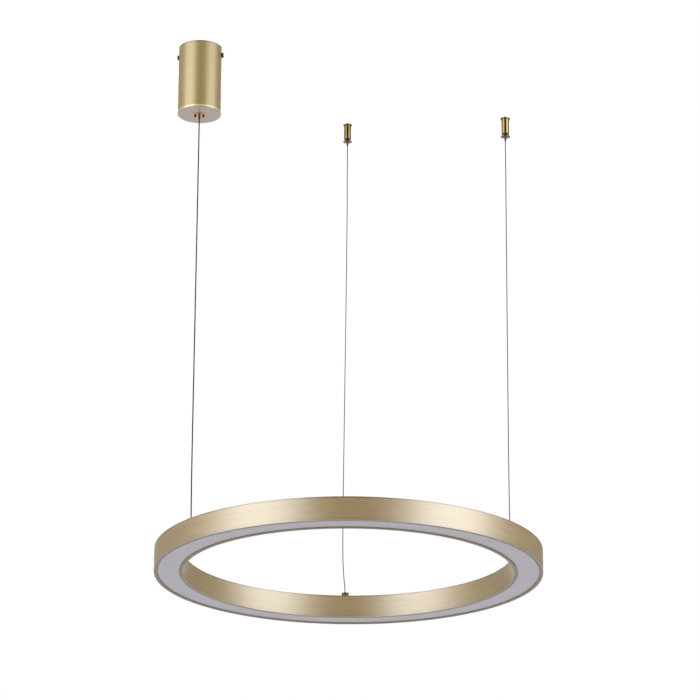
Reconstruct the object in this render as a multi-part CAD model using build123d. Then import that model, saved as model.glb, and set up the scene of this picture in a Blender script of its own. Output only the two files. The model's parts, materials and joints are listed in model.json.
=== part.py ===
from build123d import *
import os
from math import cos, hypot, radians, sin, sqrt, tan

# Ring pendant light. Millimetres, +Z up. The origin is the centre of the canopy's ceiling face,
# and everything hangs below it. The far grip lies towards +Y, the right grip towards +X.

# Where things hang
RING_DROP = 821.0  # canopy's ceiling face down to the ring's lower face
FAR_CAP_RISE = 48.8  # far grip's ceiling face above the canopy's
RIGHT_CAP_DROP = 113.4  # right grip's ceiling face below the canopy's
CANOPY_AZIMUTH = 210.0  # hanging points round the ring's axis, in degrees
FAR_AZIMUTH = 90.0
RIGHT_AZIMUTH = 330.0
WIRE_AZIMUTHS = (FAR_AZIMUTH, RIGHT_AZIMUTH)
HANG_AZIMUTHS = (CANOPY_AZIMUTH, *WIRE_AZIMUTHS)

# Lines
WIRE_R = 0.75
CABLE_R = 0.95
LINE_CLEARANCE = 0.2  # round a line that runs through a bore

# Ring channel
RING_OUTER_R = 300.0
RING_WIDTH = 45.0
RING_HEIGHT = 36.4
RING_SIDE_WALL = 1.8
RING_TOP_PLATE = 2.0
RIM_WIDTH = 5.2  # metal rim seen from below, side wall included
RIM_THICKNESS = 2.4
EDGE_BREAK = 0.4

# Diffuser
DIFFUSER_GAP = 1.0  # shadow gap to the rim
DIFFUSER_INSET = 1.6  # its lower face above the rim's lower face
DIFFUSER_FLANGE = 1.5  # thickness of the flange that lies on the rim
DIFFUSER_WALL_GAP = 0.7  # flange edge to the side wall

# LED tray
TRAY_SIDE_GAP = 1.3  # tray edge to the rim's opening, so that it goes in from below
TRAY_THICKNESS = 1.5
SPACER_LENGTH = 15.4
SPACER_R = 2.5
SPACER_COUNT = 6
SPACER_INSET = 5.0  # from the tray's inner edge
TRAY_SCREW_R = 1.25
TRAY_SCREW_HEAD_R = 2.2
TRAY_SCREW_HEAD = 1.5
TRAY_SCREW_DEPTH = 8.0
SCREW_CLEARANCE = 0.1
SCREW_SOCKET = 2.0  # across flats, in tray and M3 screws
SCREW_SOCKET_DEPTH = 0.9
STRIP_WIDTH = 12.0
STRIP_THICKNESS = 0.4
STRIP_INSET = 1.5  # from the tray's outer edge
CHIP_LENGTH = 3.5
CHIP_WIDTH = 2.8
CHIP_HEIGHT = 0.7
CHIP_COUNT = 90

# Fittings on the ring's top plate
FITTING_R = 5.7
FITTING_BODY = 10.0
FITTING_NECK_R = 3.4
FITTING_NECK = 0.6
SHANK_R = 3.0
SHANK_END = 1.2  # thread that shows past the nut
SHANK_CLEARANCE = 0.1
NUT_FLATS = 10.0
NUT_HEIGHT = 3.2
FERRULE_R = 1.7
FERRULE_LENGTH = 5.0
CABLE_STOP_R = 2.3

# Feed from the cable to the strip
FEED_OFFSET = 16.0  # cable axis to the terminal's near side, along the ring
FEED_LENGTH = 12.0
FEED_WIDTH = 10.0
FEED_HEIGHT = 7.0
FEED_POLE = 5.0  # between its two poles
FEED_LEAD_R = 0.55
FEED_LEAD_SPREAD = 1.3  # between the two leads' axes where they leave the cable
FEED_LEAD_DROP = 4.0
FEED_BEND_SHARE = 0.8  # bend radius as a share of that drop
FEED_PIN_R = 0.5
FEED_PIN_GAP = 0.4

# Ceiling wire grip
CAP_FLANGE_R = 7.5
CAP_FLANGE = 2.0
CAP_SCREW_R = 2.1
CAP_SPIGOT = 5.0
CAP_SPIGOT_WALL = 1.1
BARREL_R = 6.0
BARREL_BORE_R = 4.4
BARREL_LENGTH = 25.0
THREAD_CLEARANCE = 0.05
NECK_GAP = 3.4  # barrel's lower face to the release disc
DISC_R = 7.4
DISC_THICKNESS = 1.0
DISC_HUB_R = 3.8
DISC_HUB = 1.6
NOZZLE_LENGTH = 5.2
NOZZLE_R = 1.75
NOZZLE_TIP_R = 1.4

# Ball chuck, the same in all three grips
BALL_R = 1.2
BALL_PLAY = 0.1
BALL_COUNT = 3
BALL_LEVEL = 7.0  # above the chuck's lower face
CHUCK_FLOOR = 2.5
CONE_TOP = 10.5
CAGE_FLANGE = 1.0
CAGE_FLANGE_GAP = 0.5  # cage flange to the bore
CAGE_WALL_OVER_BALL = 0.5  # cage's outer wall past the balls' centres
CAGE_SPIGOT_R = 1.9
CAGE_SPIGOT = 1.6
RUNNING_CLEARANCE = 0.08
LINE_END_OVER_CAGE = 2.5
SPRING_WIRE_R = 0.22
SPRING_TURNS = 4.0
SPRING_END_GAP = 0.05

# Canopy cover
CANOPY_R = 34.0
COVER_WALL = 1.5
COVER_FLOOR = 1.5
COVER_RIM_GAP = 0.4  # rim below the ceiling
COVER_EDGE = 1.4  # rounding of the lower edge

# Cable outlet and grip block in the canopy's floor
OUTLET_R = 8.6
OUTLET_THICKNESS = 1.4
OUTLET_SCREW_OFFSET = 6.2
OUTLET_SCREW_R = 1.0
OUTLET_SCREW_HEAD_R = 1.8
OUTLET_SCREW_HEAD = 2.2
OUTLET_SCREW_DEPTH = 5.0
OUTLET_SCREW_SOCKET = 1.5  # across flats
OUTLET_NOZZLE_R = 1.7
OUTLET_NOZZLE_REACH = 5.4  # below the outlet flange
BLOCK_WIDTH = 20.0
BLOCK_DEPTH = 13.0
BLOCK_HEIGHT = 16.0
BLOCK_CAP = 2.0

# Ceiling bracket
BRACKET_THICKNESS = 1.5
BRACKET_COVER_GAP = 1.0
EAR_WIDTH = 12.0
EAR_LENGTH = 24.0
EAR_THICKNESS = 1.5
CEILING_SLOT_SPACING = 38.0
CEILING_SLOT_LENGTH = 10.0
CEILING_SLOT_WIDTH = 4.5
SUPPLY_HOLE_R = 5.5
SUPPLY_HOLE_X = 8.0
SUPPLY_HOLE_Y = -14.0

# Side screws
SIDE_SCREW_AZIMUTH = -10.0
SIDE_SCREW_DROP = 14.0
SIDE_SCREW_R = 2.0
SIDE_SCREW_HEAD_R = 4.0
SIDE_SCREW_HEAD = 2.6
SIDE_SCREW_SOCKET = 2.5  # across flats
SIDE_SCREW_SOCKET_DEPTH = 1.5
SIDE_SCREW_PLAY = 0.3
SIDE_NUT = 7.0
SIDE_NUT_HEIGHT = 3.2

# Driver
DRIVER_TOP_DROP = 28.0
DRIVER_LENGTH = 63.0
DRIVER_WIDTH = 40.0
DRIVER_BACK_Y = -2.5
DRIVER_COVER_GAP = 2.5
DRIVER_EDGE = 1.5
DRIVER_GRIP_GAP = 3.5  # above the grip block's cap
HANGER_THICKNESS = 1.2
HANGER_WIDTH = 8.0
HANGER_X = -8.5
HANGER_FOOT = 12.0
HANGER_END = 9.0  # past the last driver screw
M3_R = 1.5
M3_HEAD_R = 2.8
M3_HEAD = 1.8
DRIVER_SCREW_DEPTH = 5.0
DRIVER_SCREW_DROP = 12.0  # first screw below the driver's top
DRIVER_SCREW_PITCH = 30.0

# Mains terminal block
TERMINAL_X = 7.0
TERMINAL_Y = 8.0  # front face
TERMINAL_POLE = 8.5
TERMINAL_POLES = 2
TERMINAL_DEPTH = 13.0
TERMINAL_HEIGHT = 13.0
TERMINAL_AXIS_DROP = 8.0  # wire bores below the bracket
CLAMP_SCREW_R = 1.3
CLAMP_SCREW_INSET = 3.6
CLAMP_SCREW_RECESS = 0.8

# Leads and plug connection in the canopy
LEAD_R = 0.9
LEAD_BORE_CLEARANCE = 0.12
LEAD_ENTRY = 4.0
LEAD_BEND = 5.0
INPUT_LEAD_Y = -8.0
OUTPUT_LEAD_SPREAD = 5.0
CONNECTOR_Y = 13.0
CONNECTOR_WIDTH = 10.0
CONNECTOR_DEPTH = 8.0
CONNECTOR_HEIGHT = 9.0
PLUG_INSET = 0.6
TONGUE_INSET = 2.0
TONGUE_HEIGHT = 5.0
PLUG_CLEARANCE = 0.3
SOCKET_LEAD_RISE = 8.0
TAIL_RISE = 18.5  # grip block cap to the plug
TAIL_START = 6.5  # straight stretch under the plug
TAIL_END = 5.0  # straight stretch above the cap
TAIL_BEND_SHARE = 0.45  # of those stretches that the bends take up

# Places worked out from the sizes above
ring_inner_r = RING_OUTER_R - RING_WIDTH
hang_r = RING_OUTER_R - RING_WIDTH / 2
ring_x = -hang_r * cos(radians(CANOPY_AZIMUTH))
ring_y = -hang_r * sin(radians(CANOPY_AZIMUTH))
ring_low = -RING_DROP
ring_top = ring_low + RING_HEIGHT
plate_under = ring_top - RING_TOP_PLATE
shank_length = RING_TOP_PLATE + NUT_HEIGHT + SHANK_END
shank_low = ring_top - shank_length
tray_top = plate_under - SPACER_LENGTH
tray_low = tray_top - TRAY_THICKNESS
tray_width = RING_WIDTH - 2 * RIM_WIDTH - 2 * TRAY_SIDE_GAP
tray_inner_r = hang_r - tray_width / 2
tray_outer_r = hang_r + tray_width / 2
strip_outer_r = tray_outer_r - STRIP_INSET
strip_mid_r = strip_outer_r - STRIP_WIDTH / 2

cover_inner_r = CANOPY_R - COVER_WALL
driver_low = -DRIVER_TOP_DROP - DRIVER_LENGTH
block_cap_top = driver_low - DRIVER_GRIP_GAP
block_top = block_cap_top - BLOCK_CAP
cover_floor_top = block_top - BLOCK_HEIGHT
canopy_low = cover_floor_top - COVER_FLOOR
outlet_low = canopy_low - OUTLET_THICKNESS

plug_low = block_cap_top + TAIL_RISE
plug_top = plug_low + CONNECTOR_HEIGHT
socket_low = plug_top + PLUG_CLEARANCE
socket_top = socket_low + CONNECTOR_HEIGHT


def hang_point(azimuth):
    """Where a line leaves the ring, seen from above."""
    return (ring_x + hang_r * cos(radians(azimuth)), ring_y + hang_r * sin(radians(azimuth)))


def rod(radius, low, high):
    """Upright cylinder on the Z axis."""
    return Pos(0, 0, low) * Cylinder(radius, high - low, align=(Align.CENTER, Align.CENTER, Align.MIN))


def block(width, depth, low, high):
    """Upright box about the Z axis."""
    return Pos(0, 0, low) * Box(width, depth, high - low, align=(Align.CENTER, Align.CENTER, Align.MIN))


def hexagon(flats, low, high):
    """Upright hexagonal bar on the Z axis."""
    outline = RegularPolygon(radius=flats / 2, side_count=6, major_radius=False)
    return Pos(0, 0, low) * extrude(outline, high - low)


def turned(*points):
    """Solid of revolution about Z from (radius, height) points."""
    return revolve(make_face(Plane.XZ * Polyline(*points, close=True)), Axis.Z)


def run_tube(radius, points, bends):
    """Round lead along straight runs joined by arcs."""
    path = FilletPolyline(*points, radius=bends)
    return sweep(Plane(origin=path @ 0, z_dir=path % 0) * Circle(radius), path=path)


def coil(mean_r, low, high):
    """Compression spring between two levels."""
    start = low + SPRING_WIRE_R + SPRING_END_GAP
    height = high - low - 2 * (SPRING_WIRE_R + SPRING_END_GAP)
    path = Helix(pitch=height / SPRING_TURNS, height=height, radius=mean_r, center=(0, 0, start))
    section = Plane(origin=path @ 0, z_dir=path % 0) * Circle(SPRING_WIRE_R)
    return sweep(section, path=path, is_frenet=True)


def on_ring(shape, azimuth):
    """Place a shape made at the origin on the ring's top, +X outwards."""
    x, y = hang_point(azimuth)
    return Pos(x, y, 0) * Rot(0, 0, azimuth) * shape


def save(node, *solids):
    """Write one node; several solids go in as one group."""
    shape = solids[0] if len(solids) == 1 else Compound(children=list(solids))
    shape.label = node
    export_step(shape, f"parts/{node}.step")


# Ball chuck: a cone in the housing, a cage that runs in it, balls and a line
def ball_circle_r(line_r):
    return line_r + BALL_R + BALL_PLAY


def cage_r(line_r):
    return ball_circle_r(line_r) + CAGE_WALL_OVER_BALL


def chuck_cavity(line_r, low, high):
    """Inside of a grip's housing, from its lower face to its upper end."""
    guide_r = cage_r(line_r) + RUNNING_CLEARANCE
    ball_reach = BALL_R + BALL_PLAY
    rise = BALL_LEVEL - CHUCK_FLOOR
    slope = (ball_circle_r(line_r) + ball_reach - guide_r) / rise
    wall_at_ball = ball_circle_r(line_r) + ball_reach * hypot(1, slope)
    slope = (wall_at_ball - guide_r) / rise
    cone_top_r = guide_r + slope * (CONE_TOP - CHUCK_FLOOR)
    return turned(
        (0, low),
        (guide_r, low),
        (guide_r, low + CHUCK_FLOOR),
        (cone_top_r, low + CONE_TOP),
        (BARREL_BORE_R, low + CONE_TOP),
        (BARREL_BORE_R, high),
        (0, high),
    )


def cage_with_windows(body, line_r, low):
    """Cut the line's bore and the balls' windows in a cage."""
    level = low + BALL_LEVEL
    body -= rod(line_r + LINE_CLEARANCE, low - BARREL_LENGTH, low + BARREL_LENGTH)
    window = Pos(0, 0, level) * Rot(0, 90, 0) * rod(BALL_R + BALL_PLAY, 0, 2 * BARREL_R)
    for index in range(BALL_COUNT):
        body -= Rot(0, 0, 360 / BALL_COUNT * index) * window
    return body


def chuck_balls(line_r, low):
    ball = Pos(ball_circle_r(line_r), 0, low + BALL_LEVEL) * Sphere(BALL_R)
    return [Rot(0, 0, 360 / BALL_COUNT * index) * ball for index in range(BALL_COUNT)]


def cage_top_flange(low):
    top = low + CONE_TOP
    return rod(BARREL_BORE_R - CAGE_FLANGE_GAP, top, top + CAGE_FLANGE)


spring_mean_r = BARREL_BORE_R - CAP_SPIGOT_WALL + 2 * SPRING_WIRE_R
cage_flange_top = CONE_TOP + CAGE_FLANGE
line_end_level = cage_flange_top + LINE_END_OVER_CAGE


# Ring channel, with a hole in its top plate at each hanging point
def ring_channel():
    outer = RING_OUTER_R
    inner = ring_inner_r
    shell = turned(
        (outer - EDGE_BREAK, ring_low),
        (outer - RIM_WIDTH, ring_low),
        (outer - RIM_WIDTH, ring_low + RIM_THICKNESS),
        (outer - RING_SIDE_WALL, ring_low + RIM_THICKNESS),
        (outer - RING_SIDE_WALL, plate_under),
        (inner + RING_SIDE_WALL, plate_under),
        (inner + RING_SIDE_WALL, ring_low + RIM_THICKNESS),
        (inner + RIM_WIDTH, ring_low + RIM_THICKNESS),
        (inner + RIM_WIDTH, ring_low),
        (inner + EDGE_BREAK, ring_low),
        (inner, ring_low + EDGE_BREAK),
        (inner, ring_top - EDGE_BREAK),
        (inner + EDGE_BREAK, ring_top),
        (outer - EDGE_BREAK, ring_top),
        (outer, ring_top - EDGE_BREAK),
        (outer, ring_low + EDGE_BREAK),
    )
    shell = Pos(ring_x, ring_y, 0) * shell
    hole = rod(SHANK_R + SHANK_CLEARANCE, plate_under - RING_TOP_PLATE, ring_top + RING_TOP_PLATE)
    for azimuth in HANG_AZIMUTHS:
        shell -= on_ring(hole, azimuth)
    return shell


# Diffuser: a plate in the rim's opening under a wider flange that lies on the rim
def ring_diffuser():
    plate_inner = ring_inner_r + RIM_WIDTH + DIFFUSER_GAP
    plate_outer = RING_OUTER_R - RIM_WIDTH - DIFFUSER_GAP
    flange_inner = ring_inner_r + RING_SIDE_WALL + DIFFUSER_WALL_GAP
    flange_outer = RING_OUTER_R - RING_SIDE_WALL - DIFFUSER_WALL_GAP
    seat = ring_low + RIM_THICKNESS
    profile = turned(
        (plate_inner, ring_low + DIFFUSER_INSET),
        (plate_outer, ring_low + DIFFUSER_INSET),
        (plate_outer, seat),
        (flange_outer, seat),
        (flange_outer, seat + DIFFUSER_FLANGE),
        (flange_inner, seat + DIFFUSER_FLANGE),
        (flange_inner, seat),
        (plate_inner, seat),
    )
    return Pos(ring_x, ring_y, 0) * profile


# LED tray on spacers under the top plate, with the strip and its chips below
def spacer_places():
    radius = tray_inner_r + SPACER_INSET
    step = 360 / SPACER_COUNT
    return [Pos(ring_x, ring_y, 0) * Rot(0, 0, step * i) * Pos(radius, 0, 0) for i in range(SPACER_COUNT)]


def led_tray():
    band = rod(tray_outer_r, tray_low, tray_top) - rod(tray_inner_r, tray_low, tray_top)
    tray = Pos(ring_x, ring_y, 0) * band
    for place in spacer_places():
        tray -= place * rod(TRAY_SCREW_R + SCREW_CLEARANCE, tray_low, tray_top)
    for pin in feed_pins(FEED_PIN_R + FEED_PIN_GAP):
        tray -= pin
    return tray


def tray_spacers():
    bore = rod(TRAY_SCREW_R + SCREW_CLEARANCE, tray_top, tray_top + TRAY_SCREW_DEPTH)
    spacer = rod(SPACER_R, tray_top, plate_under) - bore
    return [place * spacer for place in spacer_places()]


def tray_screws():
    tip = tray_top + TRAY_SCREW_DEPTH - SCREW_CLEARANCE
    screw = rod(TRAY_SCREW_R, tray_low, tip)
    head_low = tray_low - TRAY_SCREW_HEAD
    screw += rod(TRAY_SCREW_HEAD_R, head_low, tray_low)
    screw -= hexagon(SCREW_SOCKET, head_low, head_low + SCREW_SOCKET_DEPTH)
    return [place * screw for place in spacer_places()]


def led_strip():
    low = tray_low - STRIP_THICKNESS
    band = rod(strip_outer_r, low, tray_low) - rod(strip_outer_r - STRIP_WIDTH, low, tray_low)
    return Pos(ring_x, ring_y, 0) * band


def led_chips():
    top = tray_low - STRIP_THICKNESS
    chip = Pos(strip_mid_r, 0, 0) * block(CHIP_WIDTH, CHIP_LENGTH, top - CHIP_HEIGHT, top)
    step = 360 / CHIP_COUNT
    return [Pos(ring_x, ring_y, 0) * Rot(0, 0, step * i) * chip for i in range(CHIP_COUNT)]


# Fittings: body and neck on the top plate, threaded shank through it, nut below
def ring_fitting(line_r):
    neck_top = ring_top + FITTING_BODY + FITTING_NECK
    body = turned(
        (0, shank_low),
        (SHANK_R, shank_low),
        (SHANK_R, ring_top),
        (FITTING_R, ring_top),
        (FITTING_R, ring_top + FITTING_BODY - EDGE_BREAK),
        (FITTING_R - EDGE_BREAK, ring_top + FITTING_BODY),
        (FITTING_NECK_R, ring_top + FITTING_BODY),
        (FITTING_NECK_R, neck_top - EDGE_BREAK),
        (FITTING_NECK_R - EDGE_BREAK, neck_top),
        (0, neck_top),
    )
    return body - rod(line_r + LINE_CLEARANCE, shank_low, neck_top)


def fitting_nut():
    nut = hexagon(NUT_FLATS, plate_under - NUT_HEIGHT, plate_under)
    return nut - rod(SHANK_R + THREAD_CLEARANCE, plate_under - NUT_HEIGHT, plate_under)


def line_stop(radius, line_r):
    """Crimped sleeve that bears against the end of a fitting's shank."""
    low = shank_low - FERRULE_LENGTH
    return rod(radius, low, shank_low) - rod(line_r + THREAD_CLEARANCE, low, shank_low)


# Feed terminal on the tray, next to the cable, in the ring's local directions
feed_r = strip_mid_r - hang_r
feed_lead_low = shank_low - FERRULE_LENGTH - FEED_LEAD_DROP


def feed_pins(radius):
    places = [Pos(feed_r + side * FEED_POLE / 2, FEED_OFFSET + FEED_LENGTH / 2, 0) for side in (-1, 1)]
    return [on_ring(place * rod(radius, tray_low, tray_top), CANOPY_AZIMUTH) for place in places]


def feed_lead_entry(side):
    return (feed_r + side * FEED_POLE / 2, FEED_OFFSET + LEAD_ENTRY, feed_lead_low)


def feed_terminal():
    middle_y = FEED_OFFSET + FEED_LENGTH / 2
    body = Pos(feed_r, middle_y, 0) * block(FEED_WIDTH, FEED_LENGTH, tray_top, tray_top + FEED_HEIGHT)
    for side in (-1, 1):
        path = Line(feed_lead_start(side)[1], feed_lead_entry(side))
        bore = Plane(origin=path @ 0, z_dir=path % 0) * Circle(FEED_LEAD_R + LEAD_BORE_CLEARANCE)
        body -= sweep(bore, path=path)
    body = on_ring(body, CANOPY_AZIMUTH)
    for pin in feed_pins(FEED_PIN_R):
        body += pin
    return body


def feed_lead_start(side):
    x = side * FEED_LEAD_SPREAD / 2
    return [(x, 0, shank_low - FERRULE_LENGTH), (x, 0, feed_lead_low)]


def feed_lead(side):
    points = feed_lead_start(side) + [feed_lead_entry(side)]
    return on_ring(run_tube(FEED_LEAD_R, points, FEED_BEND_SHARE * FEED_LEAD_DROP), CANOPY_AZIMUTH)


# Ceiling wire grip, made with its ceiling face at the height given
def grip_parts(top):
    barrel_top = top - CAP_FLANGE
    low = barrel_top - BARREL_LENGTH
    spigot_r = BARREL_BORE_R - THREAD_CLEARANCE
    spigot_low = barrel_top - CAP_SPIGOT
    cap = turned(
        (CAP_SCREW_R, top),
        (CAP_FLANGE_R - EDGE_BREAK, top),
        (CAP_FLANGE_R, top - EDGE_BREAK),
        (CAP_FLANGE_R, barrel_top + EDGE_BREAK),
        (CAP_FLANGE_R - EDGE_BREAK, barrel_top),
        (spigot_r, barrel_top),
        (spigot_r, spigot_low),
        (spigot_r - CAP_SPIGOT_WALL, spigot_low),
        (spigot_r - CAP_SPIGOT_WALL, barrel_top),
        (CAP_SCREW_R, barrel_top),
    )
    barrel = turned(
        (0, low),
        (BARREL_R - EDGE_BREAK, low),
        (BARREL_R, low + EDGE_BREAK),
        (BARREL_R, barrel_top),
        (0, barrel_top),
    )
    barrel -= chuck_cavity(WIRE_R, low, barrel_top)
    disc_top = low - NECK_GAP
    cage = rod(cage_r(WIRE_R), disc_top, low + CONE_TOP) + cage_top_flange(low)
    cage += rod(CAGE_SPIGOT_R, disc_top - CAGE_SPIGOT, disc_top)
    cage = cage_with_windows(cage, WIRE_R, low)
    disc_low = disc_top - DISC_THICKNESS
    hub_low = disc_low - DISC_HUB
    collar = turned(
        (0, disc_top),
        (DISC_R - EDGE_BREAK, disc_top),
        (DISC_R, disc_top - EDGE_BREAK),
        (DISC_R, disc_low),
        (DISC_HUB_R, disc_low),
        (NOZZLE_R, hub_low),
        (NOZZLE_TIP_R, hub_low - NOZZLE_LENGTH),
        (0, hub_low - NOZZLE_LENGTH),
    )
    collar -= rod(WIRE_R + LINE_CLEARANCE, hub_low - NOZZLE_LENGTH, disc_top)
    collar -= rod(CAGE_SPIGOT_R + THREAD_CLEARANCE, disc_top - CAGE_SPIGOT, disc_top)
    return {
        "cap": [cap],
        "barrel": [barrel],
        "spring": [coil(spring_mean_r, low + cage_flange_top, spigot_low)],
        "cage": [cage],
        "collar": [collar],
        "balls": chuck_balls(WIRE_R, low),
    }


def grip_line_end(top):
    """Upper end of the wire in a grip whose ceiling face is at the height given."""
    return top - CAP_FLANGE - BARREL_LENGTH + line_end_level


# Canopy: ceiling bracket with two slotted ears that the side screws clamp
ear_outer_x = sqrt((cover_inner_r - SIDE_SCREW_PLAY) ** 2 - (EAR_WIDTH / 2) ** 2)
ear_inner_x = ear_outer_x - EAR_THICKNESS
side_nut_outer_x = ear_inner_x - SIDE_SCREW_PLAY
side_nut_inner_x = side_nut_outer_x - SIDE_NUT_HEIGHT


def both_sides(shape):
    """A shape made towards +X, turned to the side screws' two directions."""
    return [Rot(0, 0, SIDE_SCREW_AZIMUTH + turn) * shape for turn in (0, 180)]


def side_rod(radius, start, end):
    """Level cylinder towards +X at the side screws' height."""
    return Pos(0, 0, -SIDE_SCREW_DROP) * Rot(0, 90, 0) * rod(radius, start, end)


def ceiling_bracket():
    plate = rod(cover_inner_r - BRACKET_COVER_GAP, -BRACKET_THICKNESS, 0)
    ear_x = (ear_outer_x + ear_inner_x) / 2
    ear = Pos(ear_x, 0, 0) * block(EAR_THICKNESS, EAR_WIDTH, -EAR_LENGTH, 0)
    slot_width = 2 * (SIDE_SCREW_R + SIDE_SCREW_PLAY)
    ear -= Pos(ear_x, 0, 0) * block(2 * EAR_THICKNESS, slot_width, -EAR_LENGTH, -SIDE_SCREW_DROP)
    ear -= side_rod(slot_width / 2, ear_inner_x - EAR_THICKNESS, ear_outer_x + EAR_THICKNESS)
    for side in both_sides(ear):
        plate += side
    slot = extrude(SlotOverall(CEILING_SLOT_LENGTH, CEILING_SLOT_WIDTH), BRACKET_THICKNESS)
    for side in (-1, 1):
        plate -= Pos(side * CEILING_SLOT_SPACING / 2, 0, -BRACKET_THICKNESS) * slot
    plate -= Pos(SUPPLY_HOLE_X, SUPPLY_HOLE_Y, 0) * rod(SUPPLY_HOLE_R, -BRACKET_THICKNESS, 0)
    for x, y in bracket_screw_places():
        plate -= Pos(x, y, 0) * rod(M3_R + SCREW_CLEARANCE, -BRACKET_THICKNESS, 0)
    return plate


def side_screw():
    head_start = CANOPY_R + SCREW_CLEARANCE
    head_end = head_start + SIDE_SCREW_HEAD
    screw = side_rod(SIDE_SCREW_R, side_nut_inner_x, head_start)
    screw += side_rod(SIDE_SCREW_HEAD_R, head_start, head_end)
    screw = chamfer(screw.edges().filter_by(GeomType.CIRCLE).sort_by(Axis.X)[-1], EDGE_BREAK)
    recess = hexagon(SIDE_SCREW_SOCKET, head_end - SIDE_SCREW_SOCKET_DEPTH, head_end)
    return screw - Pos(0, 0, -SIDE_SCREW_DROP) * Rot(0, 90, 0) * recess


def side_nut():
    middle_x = (side_nut_outer_x + side_nut_inner_x) / 2
    nut = Pos(middle_x, 0, -SIDE_SCREW_DROP) * Box(SIDE_NUT_HEIGHT, SIDE_NUT, SIDE_NUT)
    return nut - side_rod(SIDE_SCREW_R + RUNNING_CLEARANCE, side_nut_inner_x, side_nut_outer_x)


# Canopy cover: a deep cup with a hole for each side screw and one for the cable
def canopy_cover():
    rim = -COVER_RIM_GAP
    cup = turned(
        (0, canopy_low),
        (CANOPY_R, canopy_low),
        (CANOPY_R, rim - EDGE_BREAK),
        (CANOPY_R - EDGE_BREAK, rim),
        (cover_inner_r, rim),
        (cover_inner_r, cover_floor_top),
        (0, cover_floor_top),
    )
    cup = fillet(cup.edges().filter_by(GeomType.CIRCLE).sort_by(Axis.Z)[0], COVER_EDGE)
    for hole in both_sides(side_rod(SIDE_SCREW_R + SIDE_SCREW_PLAY, cover_inner_r - COVER_WALL, CANOPY_R)):
        cup -= hole
    cup -= rod(OUTLET_NOZZLE_R + LINE_CLEARANCE, canopy_low, cover_floor_top)
    for place in outlet_screw_places():
        cup -= place * rod(OUTLET_SCREW_R + SCREW_CLEARANCE, canopy_low, cover_floor_top)
    return cup


def outlet_screw_places():
    return [Pos(side * OUTLET_SCREW_OFFSET, 0, 0) for side in (-1, 1)]


def outlet_flange():
    disc = turned(
        (OUTLET_NOZZLE_R + LINE_CLEARANCE, outlet_low),
        (OUTLET_R - EDGE_BREAK, outlet_low),
        (OUTLET_R, outlet_low + EDGE_BREAK),
        (OUTLET_R, canopy_low),
        (OUTLET_NOZZLE_R + LINE_CLEARANCE, canopy_low),
    )
    for place in outlet_screw_places():
        disc -= place * rod(OUTLET_SCREW_R + SCREW_CLEARANCE, outlet_low, canopy_low)
    return disc


def outlet_screws():
    tip = cover_floor_top + OUTLET_SCREW_DEPTH - SCREW_CLEARANCE
    screw = rod(OUTLET_SCREW_R, outlet_low, tip)
    head_low = outlet_low - OUTLET_SCREW_HEAD
    screw += rod(OUTLET_SCREW_HEAD_R, head_low, outlet_low)
    screw = fillet(screw.edges().sort_by(Axis.Z)[0], EDGE_BREAK)
    screw -= hexagon(OUTLET_SCREW_SOCKET, head_low, head_low + SCREW_SOCKET_DEPTH)
    return [place * screw for place in outlet_screw_places()]


# Cable grip in the canopy's floor
def cable_grip_block():
    body = block(BLOCK_WIDTH, BLOCK_DEPTH, cover_floor_top, block_top)
    body -= chuck_cavity(CABLE_R, cover_floor_top, block_top)
    hole_top = cover_floor_top + OUTLET_SCREW_DEPTH
    for place in outlet_screw_places():
        body -= place * rod(OUTLET_SCREW_R + SCREW_CLEARANCE, cover_floor_top, hole_top)
    return body


def cable_grip_cap():
    plate = block(BLOCK_WIDTH, BLOCK_DEPTH, block_top, block_cap_top)
    return plate - rod(CABLE_R + 2 * LINE_CLEARANCE, block_top, block_cap_top)


def cable_cage():
    body = rod(cage_r(CABLE_R), cover_floor_top + RUNNING_CLEARANCE, cover_floor_top + CONE_TOP)
    body += cage_top_flange(cover_floor_top)
    body += rod(OUTLET_NOZZLE_R, outlet_low - OUTLET_NOZZLE_REACH, cover_floor_top + CHUCK_FLOOR)
    return cage_with_windows(body, CABLE_R, cover_floor_top)


cable_end = cover_floor_top + line_end_level


# Plug connection: the socket stays with the driver, the plug comes down with the cover
def output_socket():
    body = block(CONNECTOR_WIDTH, CONNECTOR_DEPTH, socket_low, socket_top)
    pocket_width = CONNECTOR_WIDTH - 2 * TONGUE_INSET + 2 * PLUG_CLEARANCE
    pocket_depth = CONNECTOR_DEPTH - 2 * TONGUE_INSET + 2 * PLUG_CLEARANCE
    pocket_top = plug_top + TONGUE_HEIGHT + PLUG_CLEARANCE
    return Pos(0, CONNECTOR_Y, 0) * (body - block(pocket_width, pocket_depth, socket_low, pocket_top))


def cable_plug():
    body = block(CONNECTOR_WIDTH - PLUG_INSET, CONNECTOR_DEPTH - PLUG_INSET, plug_low, plug_top)
    tongue_width = CONNECTOR_WIDTH - 2 * TONGUE_INSET
    tongue_depth = CONNECTOR_DEPTH - 2 * TONGUE_INSET
    body += block(tongue_width, tongue_depth, plug_top, plug_top + TONGUE_HEIGHT)
    return Pos(0, CONNECTOR_Y, 0) * body


def cable_tail():
    points = [
        (0, CONNECTOR_Y, plug_low),
        (0, CONNECTOR_Y, plug_low - TAIL_START),
        (0, 0, block_cap_top + TAIL_END),
        (0, 0, cable_end),
    ]
    down = Vector(0, 0, -1)
    across = Vector(*points[2]) - Vector(*points[1])
    half_turn = radians(down.get_angle(across)) / 2
    bends = [TAIL_BEND_SHARE * run / tan(half_turn) for run in (TAIL_START, TAIL_END)]
    return run_tube(CABLE_R, points, bends)


# Driver on its hanger
driver_front_y = -sqrt((cover_inner_r - DRIVER_COVER_GAP) ** 2 - (DRIVER_WIDTH / 2) ** 2)


def driver_screw_levels():
    first = -DRIVER_TOP_DROP - DRIVER_SCREW_DROP
    return [first, first - DRIVER_SCREW_PITCH]


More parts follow.
